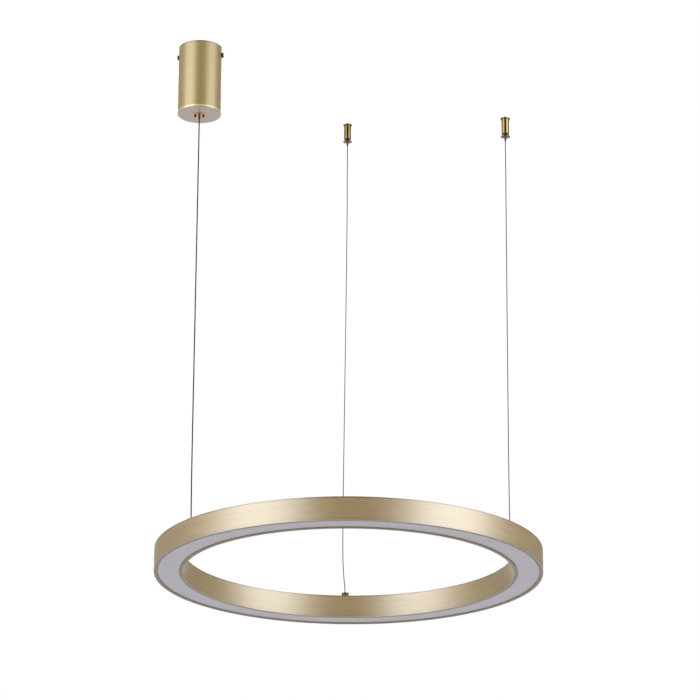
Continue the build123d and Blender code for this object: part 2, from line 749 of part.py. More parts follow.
def along_y(shape, x, level):
    """A shape made upright, laid along Y."""
    return Pos(x, 0, level) * Rot(-90, 0, 0) * shape


def back_rod(radius, x, start, end, level):
    """Level cylinder along Y."""
    return along_y(rod(radius, start, end), x, level)


def led_driver():
    middle_y = (driver_front_y + DRIVER_BACK_Y) / 2
    depth = DRIVER_BACK_Y - driver_front_y
    case = Pos(0, middle_y, 0) * block(DRIVER_WIDTH, depth, driver_low, -DRIVER_TOP_DROP)
    case = chamfer(case.edges().filter_by(Axis.Z), DRIVER_EDGE)
    hole_end = DRIVER_BACK_Y - DRIVER_SCREW_DEPTH
    for level in driver_screw_levels():
        case -= back_rod(M3_R + SCREW_CLEARANCE, HANGER_X, hole_end, DRIVER_BACK_Y, level)
    return case


def driver_hanger():
    back = DRIVER_BACK_Y + HANGER_THICKNESS
    strip_low = driver_screw_levels()[-1] - HANGER_END
    foot_low = -BRACKET_THICKNESS - HANGER_THICKNESS
    strip = Pos(HANGER_X, (DRIVER_BACK_Y + back) / 2, 0)
    strip *= block(HANGER_WIDTH, HANGER_THICKNESS, strip_low, -BRACKET_THICKNESS)
    foot = Pos(HANGER_X, DRIVER_BACK_Y + HANGER_FOOT / 2, 0)
    foot *= block(HANGER_WIDTH, HANGER_FOOT, foot_low, -BRACKET_THICKNESS)
    hanger = strip + foot
    for level in driver_screw_levels():
        hanger -= back_rod(M3_R + SCREW_CLEARANCE, HANGER_X, DRIVER_BACK_Y, back, level)
    x, y = bracket_screw_places()[0]
    hanger -= Pos(x, y, 0) * rod(M3_R + SCREW_CLEARANCE, foot_low, -BRACKET_THICKNESS)
    return hanger


def driver_screws():
    back = DRIVER_BACK_Y + HANGER_THICKNESS
    head_end = back + M3_HEAD
    tip = DRIVER_BACK_Y - DRIVER_SCREW_DEPTH + SCREW_CLEARANCE
    screws = []
    for level in driver_screw_levels():
        screw = back_rod(M3_R, HANGER_X, tip, back, level)
        screw += back_rod(M3_HEAD_R, HANGER_X, back, head_end, level)
        screw -= along_y(hexagon(SCREW_SOCKET, head_end - SCREW_SOCKET_DEPTH, head_end), HANGER_X, level)
        screws.append(screw)
    return screws


# Terminal block under the bracket
terminal_low = -BRACKET_THICKNESS - TERMINAL_HEIGHT
terminal_axis = -BRACKET_THICKNESS - TERMINAL_AXIS_DROP


def pole_places():
    first = TERMINAL_X - (TERMINAL_POLES - 1) * TERMINAL_POLE / 2
    return [first + TERMINAL_POLE * i for i in range(TERMINAL_POLES)]


def clamp_places():
    rows = (TERMINAL_Y + CLAMP_SCREW_INSET, TERMINAL_Y + TERMINAL_DEPTH - CLAMP_SCREW_INSET)
    return [Pos(x, y, 0) for x in pole_places() for y in rows]


def bracket_screw_places():
    """Hanger screw, then terminal block screw."""
    return [
        (HANGER_X, DRIVER_BACK_Y + HANGER_THICKNESS + HANGER_FOOT / 2),
        (TERMINAL_X, TERMINAL_Y + TERMINAL_DEPTH / 2),
    ]


def terminal_block():
    body = Pos(TERMINAL_X, TERMINAL_Y + TERMINAL_DEPTH / 2, 0)
    body *= block(TERMINAL_POLES * TERMINAL_POLE, TERMINAL_DEPTH, terminal_low, -BRACKET_THICKNESS)
    back_y = TERMINAL_Y + TERMINAL_DEPTH
    for x in pole_places():
        body -= back_rod(LEAD_R + LEAD_BORE_CLEARANCE, x, TERMINAL_Y, back_y, terminal_axis)
    for place in clamp_places():
        body -= place * rod(CLAMP_SCREW_R + SCREW_CLEARANCE, terminal_low, terminal_axis)
    x, y = bracket_screw_places()[1]
    body -= Pos(x, y, 0) * rod(M3_R + SCREW_CLEARANCE, terminal_low, -BRACKET_THICKNESS)
    return body


def clamp_screws():
    low = terminal_low + CLAMP_SCREW_RECESS
    high = terminal_axis - LEAD_R - SCREW_CLEARANCE
    return [place * rod(CLAMP_SCREW_R, low, high) for place in clamp_places()]


def bracket_screws():
    """Pan-head screws up into the bracket; each head lies under the piece that it holds."""
    screws = []
    for (x, y), under in zip(bracket_screw_places(), (HANGER_THICKNESS, TERMINAL_HEIGHT)):
        seat = -BRACKET_THICKNESS - under
        head_low = seat - M3_HEAD
        screw = rod(M3_R, seat, 0) + rod(M3_HEAD_R, head_low, seat)
        screw -= hexagon(SCREW_SOCKET, head_low, head_low + SCREW_SOCKET_DEPTH)
        screws.append(Pos(x, y, 0) * screw)
    return screws


def input_lead(index):
    x = pole_places()[index]
    points = [
        (x, TERMINAL_Y + LEAD_ENTRY, terminal_axis),
        (x, INPUT_LEAD_Y, terminal_axis),
        (x, INPUT_LEAD_Y, -DRIVER_TOP_DROP),
    ]
    return run_tube(LEAD_R, points, LEAD_BEND)


def output_lead(side):
    x = side * OUTPUT_LEAD_SPREAD / 2
    level = socket_top + SOCKET_LEAD_RISE
    points = [(x, DRIVER_BACK_Y, level), (x, CONNECTOR_Y, level), (x, CONNECTOR_Y, socket_top)]
    return run_tube(LEAD_R, points, LEAD_BEND)


def hung_line(radius, azimuth, low, high):
    """Straight line from a ring fitting up to its grip."""
    x, y = hang_point(azimuth)
    return Pos(x, y, 0) * rod(radius, low, high)


os.makedirs("parts", exist_ok=True)

save("ceiling_bracket", ceiling_bracket())
save("bracket_screws", *bracket_screws())
save("driver_hanger", driver_hanger())
save("led_driver", led_driver())
save("driver_screws", *driver_screws())
save("terminal_block", terminal_block())
save("clamp_screws", *clamp_screws())
save("input_lead_live", input_lead(0))
save("input_lead_neutral", input_lead(1))
save("output_lead_plus", output_lead(1))
save("output_lead_minus", output_lead(-1))
save("output_socket", output_socket())

save("canopy_cover", canopy_cover())
save("side_screw_nuts", *both_sides(side_nut()))
save("outlet_flange", outlet_flange())
save("outlet_screws", *outlet_screws())
save("cable_grip_block", cable_grip_block())
save("cable_grip_cap", cable_grip_cap())
save("cable_grip_spring", coil(spring_mean_r, cover_floor_top + cage_flange_top, block_top))
save("cable_tail", cable_tail())
save("cable_plug", cable_plug())
save("cable_cage", cable_cage())
save("cable_balls", *chuck_balls(CABLE_R, cover_floor_top))
for name, screw in zip(("side_screw_right", "side_screw_left"), both_sides(side_screw())):
    save(name, screw)

save("ring_channel", ring_channel())
save("ring_diffuser", ring_diffuser())
save("led_tray", led_tray())
save("tray_spacers", *tray_spacers())
save("tray_screws", *tray_screws())
save("led_strip", led_strip())
save("led_chips", *led_chips())
save("feed_terminal", feed_terminal())
save("feed_lead_plus", feed_lead(1))
save("feed_lead_minus", feed_lead(-1))
save("cable_gland", on_ring(ring_fitting(CABLE_R), CANOPY_AZIMUTH))
save("far_socket", on_ring(ring_fitting(WIRE_R), FAR_AZIMUTH))
save("right_socket", on_ring(ring_fitting(WIRE_R), RIGHT_AZIMUTH))
save("fitting_nuts", *[on_ring(fitting_nut(), azimuth) for azimuth in HANG_AZIMUTHS])
save("cable_stop", on_ring(line_stop(CABLE_STOP_R, CABLE_R), CANOPY_AZIMUTH))
save("wire_ferrules", *[on_ring(line_stop(FERRULE_R, WIRE_R), azimuth) for azimuth in WIRE_AZIMUTHS])

line_low = shank_low - FERRULE_LENGTH
save("power_cable", hung_line(CABLE_R, CANOPY_AZIMUTH, line_low, cable_end))
for name, azimuth, cap_top in zip(("far", "right"), WIRE_AZIMUTHS, (FAR_CAP_RISE, -RIGHT_CAP_DROP)):
    save(f"{name}_wire", hung_line(WIRE_R, azimuth, line_low, grip_line_end(cap_top)))
    x, y = hang_point(azimuth)
    for piece, solids in grip_parts(cap_top).items():
        save(f"{name}_{piece}", *[Pos(x, y, 0) * solid for solid in solids])

print("canopy height:", round(-canopy_low, 2), "ring centre:", round(ring_x, 2), round(ring_y, 2))
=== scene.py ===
import json
import math

import bpy
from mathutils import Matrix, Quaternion, Vector


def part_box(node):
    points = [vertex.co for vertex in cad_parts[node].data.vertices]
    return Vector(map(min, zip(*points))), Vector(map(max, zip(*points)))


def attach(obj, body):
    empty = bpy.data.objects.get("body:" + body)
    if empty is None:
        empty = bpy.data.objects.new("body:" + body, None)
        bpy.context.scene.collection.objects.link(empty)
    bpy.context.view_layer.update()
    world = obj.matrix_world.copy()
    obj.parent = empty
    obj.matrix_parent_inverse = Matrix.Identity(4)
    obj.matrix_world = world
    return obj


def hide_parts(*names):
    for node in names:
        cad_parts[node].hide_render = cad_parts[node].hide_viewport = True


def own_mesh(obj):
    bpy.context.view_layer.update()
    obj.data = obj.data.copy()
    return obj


# Ring pendant light in brushed gold. Metres, +Z up, the CAD model's own frame.
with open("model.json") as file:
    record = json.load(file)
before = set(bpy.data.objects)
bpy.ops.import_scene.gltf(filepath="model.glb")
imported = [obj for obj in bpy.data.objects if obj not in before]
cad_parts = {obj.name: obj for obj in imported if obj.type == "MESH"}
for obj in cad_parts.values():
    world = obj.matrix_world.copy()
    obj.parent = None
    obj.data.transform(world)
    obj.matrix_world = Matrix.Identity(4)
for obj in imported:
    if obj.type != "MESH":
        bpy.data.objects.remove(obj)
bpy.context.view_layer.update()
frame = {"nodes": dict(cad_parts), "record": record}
nodes = frame["nodes"]
scene = bpy.context.scene
scene.view_settings.view_transform = "Standard"

ring_low, ring_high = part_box("ring_channel")
ring_middle = (ring_low + ring_high) / 2

# Camera: far below the ring, looking up at it
IMAGE_SIDE = 700.0  # pixels
SENSOR = 36.0  # millimetres
FOCAL_PIXELS = 3428.9
CAMERA_PLACE = Vector((0.1435, -4.9662, -2.2347))
CAMERA_YAW = math.radians(1.094)
CAMERA_PITCH = math.radians(19.231)
CAMERA_ROLL = math.radians(0.276)
CAMERA_REACH = 200.0


def place_camera():
    lens = bpy.data.cameras.new("camera")
    lens.sensor_width = SENSOR
    lens.lens = FOCAL_PIXELS * SENSOR / IMAGE_SIDE
    lens.clip_end = CAMERA_REACH
    level = math.cos(CAMERA_PITCH)
    forward = Vector((math.sin(CAMERA_YAW) * level, math.cos(CAMERA_YAW) * level, math.sin(CAMERA_PITCH)))
    camera = bpy.data.objects.new("camera", lens)
    camera.rotation_mode = "QUATERNION"
    camera.rotation_quaternion = forward.to_track_quat("-Z", "Y") @ Quaternion((0, 0, 1), CAMERA_ROLL)
    camera.location = CAMERA_PLACE
    scene.collection.objects.link(camera)
    scene.camera = camera


# Hanging lines: each runs from its fitting in the ring up into its grip
WIRE_RADIUS = 0.00075
WIRE_STRANDS = 6
WIRE_LAY = 0.010  # height in which a strand goes once round the wire
WIRE_STEPS = 200  # points read from the route for each of its control points
STRAND_RADIUS = WIRE_RADIUS / 3  # the strands and the core are of one size
STRAND_POINTS = 4  # points of the outline on each strand
STRAND_FILL = 0.80  # share of the wire's radius that the grooves between strands keep
CABLE_RADIUS = 0.00095
CABLE_SIDES = 20
CABLE_STEPS = 60

# Bends of a line: height above its lower end, step aside
CABLE_BENDS = [(0.030, 0.0), (0.090, -0.0006), (0.350, -0.0003), (0.600, 0.0)]
FAR_WIRE_BENDS = [(0.026, 0.0), (0.046, -0.0022), (0.085, -0.0046), (0.240, -0.0036), (0.620, 0.0),
                  (0.780, 0.0)]
RIGHT_WIRE_BENDS = [(0.030, 0.0), (0.100, -0.0006), (0.360, -0.0004), (0.600, 0.0)]


def read_route(name, points, steps):
    """Points along the smooth line that the route's control points give."""
    curve = bpy.data.curves.new(name, "CURVE")
    curve.dimensions = "3D"
    curve.resolution_u = steps
    spline = curve.splines.new("NURBS")
    spline.points.add(len(points) - 1)
    for spot, place in zip(spline.points, points):
        spot.co = (*place, 1.0)
    spline.order_u = 3
    spline.use_endpoint_u = True
    holder = bpy.data.objects.new(name, curve)
    line = bpy.data.meshes.new_from_object(holder)
    path = [vertex.co.copy() for vertex in line.vertices]
    bpy.data.objects.remove(holder)
    bpy.data.curves.remove(curve)
    bpy.data.meshes.remove(line)
    return path


def round_section(travel):
    """Plain round jacket, the same at any height."""
    turns = [2 * math.pi * i / CABLE_SIDES for i in range(CABLE_SIDES)]
    return [(CABLE_RADIUS * math.cos(t), CABLE_RADIUS * math.sin(t)) for t in turns]


def stranded_section(travel):
    """Outline of strands laid round a core, turned as the lay goes up the wire."""
    centre = WIRE_RADIUS - STRAND_RADIUS
    twist = 2 * math.pi * travel / WIRE_LAY
    sector = 2 * math.pi / WIRE_STRANDS
    outline = []
    for index in range(WIRE_STRANDS * STRAND_POINTS):
        offset = sector * ((index % STRAND_POINTS) / STRAND_POINTS - 0.5)
        across = centre * math.sin(offset)
        reach = centre * math.cos(offset) + math.sqrt(max(0.0, STRAND_RADIUS ** 2 - across ** 2))
        reach = max(reach, STRAND_FILL * WIRE_RADIUS)
        angle = twist + sector * (index // STRAND_POINTS) + offset
        outline.append((reach * math.cos(angle), reach * math.sin(angle)))
    return outline


def sweep_line(name, path, section):
    """Closed mesh with one ring of the section at each point of an upright path."""
    points = []
    faces = []
    travel = 0.0
    for index, place in enumerate(path):
        if index:
            travel += (place - path[index - 1]).length
        ring = section(travel)
        points += [(place.x + x, place.y + y, place.z) for x, y in ring]
    count = len(ring)
    for level in range(len(path) - 1):
        start = level * count
        for side in range(count):
            follow = (side + 1) % count
            faces.append((start + side, start + follow, start + count + follow, start + count + side))
    faces.append(tuple(range(count - 1, -1, -1)))
    faces.append(tuple(range(len(points) - count, len(points))))
    mesh = bpy.data.meshes.new(name)
    mesh.from_pydata(points, [], faces)
    mesh.polygons.foreach_set("use_smooth", [True] * len(mesh.polygons))
    piece = bpy.data.objects.new(name, mesh)
    scene.collection.objects.link(piece)
    return piece


def upright_route(node, bends):
    """Control points up a line's axis, from its lower end through its bends to its upper end."""
    low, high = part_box(node)
    axis = (low + high) / 2
    route = [(axis.x, axis.y, low.z)]
    route += [(axis.x + aside, axis.y, low.z + height) for height, aside in bends]
    route.append((axis.x, axis.y, high.z))
    return route


def hang_line(node, bends, section, steps):
    """A line that hangs from the ring up to its grip, swept along its route in place of its CAD node."""
    route = upright_route(node, bends)
    path = read_route(node + "_route", route, steps)
    piece = sweep_line(node + "_line", path, section)
    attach(piece, "ring")
    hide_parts(node)
    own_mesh(piece)
    return piece


def press_spring(node):
    """Gives a coil spring a mesh of its own."""
    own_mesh(nodes[node])


# Shared surface effects
BRUSH_CONTRAST = (0.30, 0.70)  # part of the noise that goes from dark to light
BAND_PITCH = 0.34  # pitch of the broad bands, as a share of the fine lines' pitch
SMALLEST_SQUARE = 1e-8  # keeps the radius from being nothing on the axis
SPECK_PITCH = 40.0  # specks to each cloud of the haze

# Where the masks of a turned piece fade: heights in widths of the zone, and how far a face looks up
EDGE_FADE = (0.5, 1.2)
LINE_HEIGHT = 1.4
LINE_FADE = (0.2, 0.9)
TIP_FADE = (0.95, 1.05)
UPRIGHT_FACING = (0.2, 0.6)
DOWN_FACING = (-0.97, -0.80)
UP_FACING = (0.60, 0.95)


def add_group(name, inputs, outputs):
    group = bpy.data.node_groups.new(name, "ShaderNodeTree")
    for socket, kind, value in inputs:
        made = group.interface.new_socket(name=socket, in_out="INPUT", socket_type=kind)
        made.default_value = value
    for socket, kind in outputs:
        group.interface.new_socket(name=socket, in_out="OUTPUT", socket_type=kind)
    start = group.nodes.new("NodeGroupInput")
    end = group.nodes.new("NodeGroupOutput")
    return group, start, end


def feed(tree, socket, value):
    """Set a socket to a number, or link another node's output to it."""
    if isinstance(value, (int, float)):
        socket.default_value = value
    else:
        tree.links.new(value, socket)


def add_math(tree, operation, *values):
    node = tree.nodes.new("ShaderNodeMath")
    node.operation = operation
    for socket, value in zip(node.inputs, values):
        feed(tree, socket, value)
    return node.outputs[0]


def add_range(tree, value, low, high, start=0.0, end=1.0):
    """A value between start and end, spread between two others."""
    node = tree.nodes.new("ShaderNodeMapRange")
    tree.links.new(value, node.inputs["Value"])
    node.inputs["From Min"].default_value = start
    node.inputs["From Max"].default_value = end
    feed(tree, node.inputs["To Min"], low)
    feed(tree, node.inputs["To Max"], high)
    return node.outputs["Result"]


def brush_lines_group():
    """Fine lines that run round an upright axis, as brushing or turning leaves them."""
    group, start, end = add_group(
        "brush_lines",
        [("Axis", "NodeSocketVector", (0, 0, 0)), ("Lines per metre", "NodeSocketFloat", 900.0),
         ("Streaks round", "NodeSocketFloat", 4.0)],
        [("Lines", "NodeSocketFloat"), ("Bands", "NodeSocketFloat")],
    )
    place = group.nodes.new("ShaderNodeTexCoord")
    shift = group.nodes.new("ShaderNodeVectorMath")
    shift.operation = "SUBTRACT"
    group.links.new(place.outputs["Object"], shift.inputs[0])
    group.links.new(start.outputs["Axis"], shift.inputs[1])
    split = group.nodes.new("ShaderNodeSeparateXYZ")
    group.links.new(shift.outputs[0], split.inputs[0])
    x, y, z = split.outputs
    square = add_math(group, "ADD", add_math(group, "MULTIPLY", x, x), add_math(group, "MULTIPLY", y, y))
    radius = add_math(group, "SQRT", add_math(group, "MAXIMUM", square, SMALLEST_SQUARE))
    streaks = start.outputs["Streaks round"]
    circle_x = add_math(group, "MULTIPLY", add_math(group, "DIVIDE", x, radius), streaks)
    circle_y = add_math(group, "MULTIPLY", add_math(group, "DIVIDE", y, radius), streaks)
    for output, share, detail in (("Lines", 1.0, 2.0), ("Bands", BAND_PITCH, 1.0)):
        pitch = add_math(group, "MULTIPLY", start.outputs["Lines per metre"], share)
        along = group.nodes.new("ShaderNodeCombineXYZ")
        group.links.new(add_math(group, "MULTIPLY", radius, pitch), along.inputs[0])
        group.links.new(add_math(group, "MULTIPLY", z, pitch), along.inputs[1])
        group.links.new(circle_x, along.inputs[2])
        noise = group.nodes.new("ShaderNodeTexNoise")
        noise.noise_dimensions = "4D"
        noise.inputs["Scale"].default_value = 1.0
        noise.inputs["Detail"].default_value = detail
        group.links.new(along.outputs[0], noise.inputs["Vector"])
        group.links.new(circle_y, noise.inputs["W"])
        group.links.new(add_range(group, noise.outputs[0], 0.0, 1.0, *BRUSH_CONTRAST), end.inputs[output])
    return group


def wall_zones_group():
    """Masks on a turned piece: its upper edge, a line above its foot, its end faces and its tip; finishes
    paint shade and highlights into the first three.
    """
    group, start, end = add_group(
        "wall_zones",
        [("Top", "NodeSocketFloat", 0.0), ("Foot", "NodeSocketFloat", 0.0),
         ("Width", "NodeSocketFloat", 0.002)],
        [("Edge", "NodeSocketFloat"), ("Line", "NodeSocketFloat"), ("End face", "NodeSocketFloat"),
         ("Top face", "NodeSocketFloat"), ("Tip", "NodeSocketFloat")],
    )
    place = group.nodes.new("ShaderNodeTexCoord")
    heights = []
    for output in ("Object", "Normal"):
        split = group.nodes.new("ShaderNodeSeparateXYZ")
        group.links.new(place.outputs[output], split.inputs[0])
        heights.append(split.outputs[2])
    z, facing = heights
    width = start.outputs["Width"]
    under = add_math(group, "DIVIDE", add_math(group, "SUBTRACT", start.outputs["Top"], z), width)
    upright = add_range(group, add_math(group, "ABSOLUTE", facing), 1.0, 0.0, *UPRIGHT_FACING)
    near = add_range(group, under, 1.0, 0.0, *EDGE_FADE)
    group.links.new(add_math(group, "MULTIPLY", near, upright), end.inputs["Edge"])
    above = add_math(group, "DIVIDE", add_math(group, "SUBTRACT", z, start.outputs["Foot"]), width)
    apart = add_math(group, "ABSOLUTE", add_math(group, "SUBTRACT", above, LINE_HEIGHT))
    group.links.new(add_range(group, apart, 1.0, 0.0, *LINE_FADE), end.inputs["Line"])
    group.links.new(add_range(group, above, 1.0, 0.0, *TIP_FADE), end.inputs["Tip"])
    group.links.new(add_range(group, facing, 1.0, 0.0, *DOWN_FACING), end.inputs["End face"])
    group.links.new(add_range(group, facing, 0.0, 1.0, *UP_FACING), end.inputs["Top face"])
    return group


def handling_haze_group():
    """Slow, cloudy change over a surface from handling and moulding."""
    group, start, end = add_group(
        "handling_haze",
        [("Clouds per metre", "NodeSocketFloat", 60.0), ("Low", "NodeSocketFloat", 0.0),
         ("High", "NodeSocketFloat", 1.0)],
        [("Haze", "NodeSocketFloat"), ("Specks", "NodeSocketFloat")],
    )
    place = group.nodes.new("ShaderNodeTexCoord")
    for output, share, detail in (("Haze", 1.0, 3.0), ("Specks", SPECK_PITCH, 1.0)):
        noise = group.nodes.new("ShaderNodeTexNoise")
        noise.inputs["Detail"].default_value = detail
        group.links.new(place.outputs["Object"], noise.inputs["Vector"])
        pitch = add_math(group, "MULTIPLY", start.outputs["Clouds per metre"], share)
        group.links.new(pitch, noise.inputs["Scale"])
        value = add_range(group, noise.outputs[0], start.outputs["Low"], start.outputs["High"])
        group.links.new(value, end.inputs[output])
    return group


brush_lines = brush_lines_group()
wall_zones = wall_zones_group()
handling_haze = handling_haze_group()

# Finishes
# Zones of a brushed wall carry painted light: a dark upper edge and a line above the foot
ZONE_WIDTH = 0.0021  # height of the tinted edge on a brushed wall
BRUSH_STREAKS = 7.0
BRUSH_DEPTH = 0.00005
BRUSHED_CLOUDS = 25.0
LINE_SHARE = 0.6  # share of the fine lines in the brushing; the broad bands have the rest
HAZE_SHARE = 0.3  # share of the haze in the roughness; the brushing has the rest
TOP_DULLNESS = 0.18  # roughness added on an upper face
TOP_LACQUER = 0.1  # share of the lacquer on an upper face
LACQUER_ROUGHNESS = 0.40
SPECK_BUMP = 0.05
SPECK_DEPTH = 0.00002
GRAIN_DEPTH = 0.00003
NOZZLE_LENGTH = 0.0052
POLISHED_ROUGHNESS = (0.18, 0.25)
LEAD_ROUGHNESS = (0.32, 0.45)


def start_material(name):
    material = bpy.data.materials.new(name)
    material.use_nodes = True
    tree = material.node_tree
    return material, tree, tree.nodes["Principled BSDF"]


def set_sockets(node, **values):
    """Set a node's sockets; a socket's spaces are underscores here."""
    for socket, value in values.items():
        node.inputs[socket.replace("_", " ")].default_value = value


def place_group(tree, group, **values):
    node = tree.nodes.new("ShaderNodeGroup")
    node.node_tree = group
    set_sockets(node, **values)
    return node


def shade_between(tree, share, dark, light):
    """Base colour that moves between two shades of the finish."""
    mix = tree.nodes.new("ShaderNodeMix")
    mix.data_type = "RGBA"
    tree.links.new(share, mix.inputs["Factor"])
    mix.inputs["A"].default_value = (*dark, 1.0)
    mix.inputs["B"].default_value = (*light, 1.0)
    return mix.outputs["Result"]


def tint_zone(tree, colour, mask, tint_or_painted_light, blend="MIX"):
    """Colour that takes another shade where the mask is 1: painted light and shade, or a part's own colour.
    """
    mix = tree.nodes.new("ShaderNodeMix")
    mix.data_type = "RGBA"
    mix.blend_type = blend
    mix.clamp_result = True
    tree.links.new(mask, mix.inputs["Factor"])
    tree.links.new(colour, mix.inputs["A"])
    mix.inputs["B"].default_value = (*tint_or_painted_light, 1.0)
    return mix.outputs["Result"]


def raise_bump(tree, shader, height, strength, depth):
    bump = tree.nodes.new("ShaderNodeBump")
    bump.inputs["Strength"].default_value = strength
    bump.inputs["Distance"].default_value = depth
    tree.links.new(height, bump.inputs["Height"])
    tree.links.new(bump.outputs["Normal"], shader.inputs["Normal"])


def brushed_metal(name, dark, light, node, lines, rough, metallic, bump, painted_light_tints, coat_ior=None, end_coat=1.0):
    """Metal brushed round a node's axis: shade, roughness and height follow the lines.

    Painted light goes on the upper edge (a painted dark line), on the line above the foot (a painted
    highlight or dark line) and on the end face below (painted shade and reflection); end_coat is the
    share of the lacquer on that face.
    """
    material, tree, shader = start_material(name)
    low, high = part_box(node)
    axis = (low + high) / 2
    brush = place_group(tree, brush_lines, Axis=(axis.x, axis.y, 0.0), Lines_per_metre=lines,
                        Streaks_round=BRUSH_STREAKS)
    zones = place_group(tree, wall_zones, Top=high.z, Foot=low.z, Width=ZONE_WIDTH)
    haze = place_group(tree, handling_haze, Clouds_per_metre=BRUSHED_CLOUDS)
    bands = add_math(tree, "MULTIPLY", brush.outputs["Bands"], 1 - LINE_SHARE)
    both = add_math(tree, "MULTIPLY_ADD", brush.outputs["Lines"], LINE_SHARE, bands)
    painted_edge_shade, painted_foot_line, painted_underside_light = painted_light_tints
    colour = shade_between(tree, both, dark, light)
    # Painted light: a darker upper edge, a painted highlight or dark line above the foot, and a painted
    # shade or reflection on the faces that look down
    colour = tint_zone(tree, colour, zones.outputs["Edge"], painted_edge_shade, "MULTIPLY")
    colour = tint_zone(tree, colour, zones.outputs["Line"], painted_foot_line)
    colour = tint_zone(tree, colour, zones.outputs["End face"], painted_underside_light)
    tree.links.new(colour, shader.inputs["Base Color"])
    brushing = add_math(tree, "MULTIPLY", both, 1 - HAZE_SHARE)
    worn = add_math(tree, "MULTIPLY_ADD", haze.outputs["Haze"], HAZE_SHARE, brushing)
    dull = add_math(tree, "MULTIPLY", zones.outputs["Top face"], TOP_DULLNESS)
    matt = add_math(tree, "ADD", add_range(tree, worn, *rough), dull)
    tree.links.new(matt, shader.inputs["Roughness"])
    raise_bump(tree, shader, both, bump, BRUSH_DEPTH)
    set_sockets(shader, Metallic=metallic)
    if coat_ior:
        over = add_range(tree, zones.outputs["Top face"], 1.0, TOP_LACQUER)
        under = add_range(tree, zones.outputs["End face"], 1.0, end_coat)
        tree.links.new(add_math(tree, "MULTIPLY", over, under), shader.inputs["Coat Weight"])
        set_sockets(shader, Coat_Roughness=LACQUER_ROUGHNESS, Coat_IOR=coat_ior)
    return material


def plain_metal(name, dark, light, rough, metallic=1.0, clouds=180.0, zone=None, tint_or_painted_light=None, **levels):
    """Plated or polished metal with a faint handling haze; one zone of it may take its own colour or a
    painted shade.
    """
    material, tree, shader = start_material(name)
    haze = place_group(tree, handling_haze, Clouds_per_metre=clouds)
    colour = shade_between(tree, haze.outputs["Haze"], dark, light)
    if zone:
        zones = place_group(tree, wall_zones, **levels)
        colour = tint_zone(tree, colour, zones.outputs[zone], tint_or_painted_light)
    tree.links.new(colour, shader.inputs["Base Color"])
    tree.links.new(add_range(tree, haze.outputs["Haze"], *rough), shader.inputs["Roughness"])
    raise_bump(tree, shader, haze.outputs["Specks"], SPECK_BUMP, SPECK_DEPTH)
    set_sockets(shader, Metallic=metallic)
    return material


def moulded_plastic(name, dark, light, rough, clouds=120.0, bump=0.15, coat=0.0, gloss=0.5):
    """Moulded or extruded plastic with a fine grain."""
    material, tree, shader = start_material(name)
    haze = place_group(tree, handling_haze, Clouds_per_metre=clouds)
    tree.links.new(shade_between(tree, haze.outputs["Haze"], dark, light), shader.inputs["Base Color"])
    tree.links.new(add_range(tree, haze.outputs["Specks"], *rough), shader.inputs["Roughness"])
    raise_bump(tree, shader, haze.outputs["Specks"], bump, GRAIN_DEPTH)
    set_sockets(shader, Coat_Weight=coat, Specular_IOR_Level=gloss)
    return material


def opal_acrylic(name, dark, light, rough):
    """Frosted diffuser: light goes a little way into it."""
    material = moulded_plastic(name, dark, light, rough, clouds=40.0, bump=0.1)
    shader = material.node_tree.nodes["Principled BSDF"]
    set_sockets(shader, Subsurface_Weight=0.25, Subsurface_Scale=0.004, Subsurface_Radius=(1.0, 0.95, 1.0))
    return material


def collar_gold(node):
    """Darker polished gold with a dark steel nozzle at the collar's lower end."""
    lower_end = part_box(node)[0]
    return plain_metal(
        node + "_gold", (0.150, 0.103, 0.046), (0.190, 0.136, 0.062), POLISHED_ROUGHNESS,
        zone="Tip", tint_or_painted_light=(0.055, 0.050, 0.044), Foot=lower_end.z, Width=NOZZLE_LENGTH,
    )


# A finish moves between its dark and its light shade
POLISHED_SHADES = ((0.222, 0.159, 0.061), (0.270, 0.198, 0.080))
LEAD_SHADES = {
    "brown_lead": ((0.17, 0.075, 0.040), (0.23, 0.105, 0.055)),
    "blue_lead": ((0.040, 0.13, 0.40), (0.060, 0.18, 0.50)),
    "red_lead": ((0.46, 0.035, 0.030), (0.60, 0.060, 0.050)),
    "black_lead": ((0.020, 0.020, 0.020), (0.034, 0.034, 0.034)),
}

